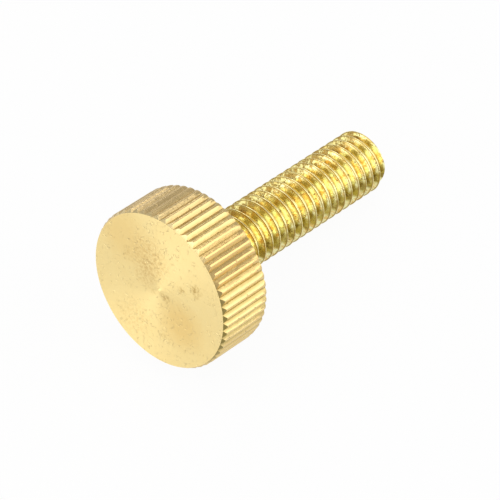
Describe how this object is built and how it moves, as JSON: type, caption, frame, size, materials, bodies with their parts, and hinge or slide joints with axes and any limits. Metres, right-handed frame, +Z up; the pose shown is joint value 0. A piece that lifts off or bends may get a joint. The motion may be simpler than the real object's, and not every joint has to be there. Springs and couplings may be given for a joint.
{
  "type": "thumb screw",
  "caption": "Brass thumb screw with a low straight-knurled round head and a fully threaded shank, lying on its side.",
  "frame": {"origin": "on the surface the screw lies on, under the centre of its box", "axes": "+Z up, the screw's axis in the XZ plane with the head towards -X and the end of the shank towards +X, leaning 12.0 degrees down"},
  "size_m": [0.0294, 0.0154, 0.0162],
  "materials": {
    "brass": "satin turned face, tarnished thread"
  },
  "bodies": {
    "root": {"thumb_screw": "brass"}
  },
  "joints": []
}
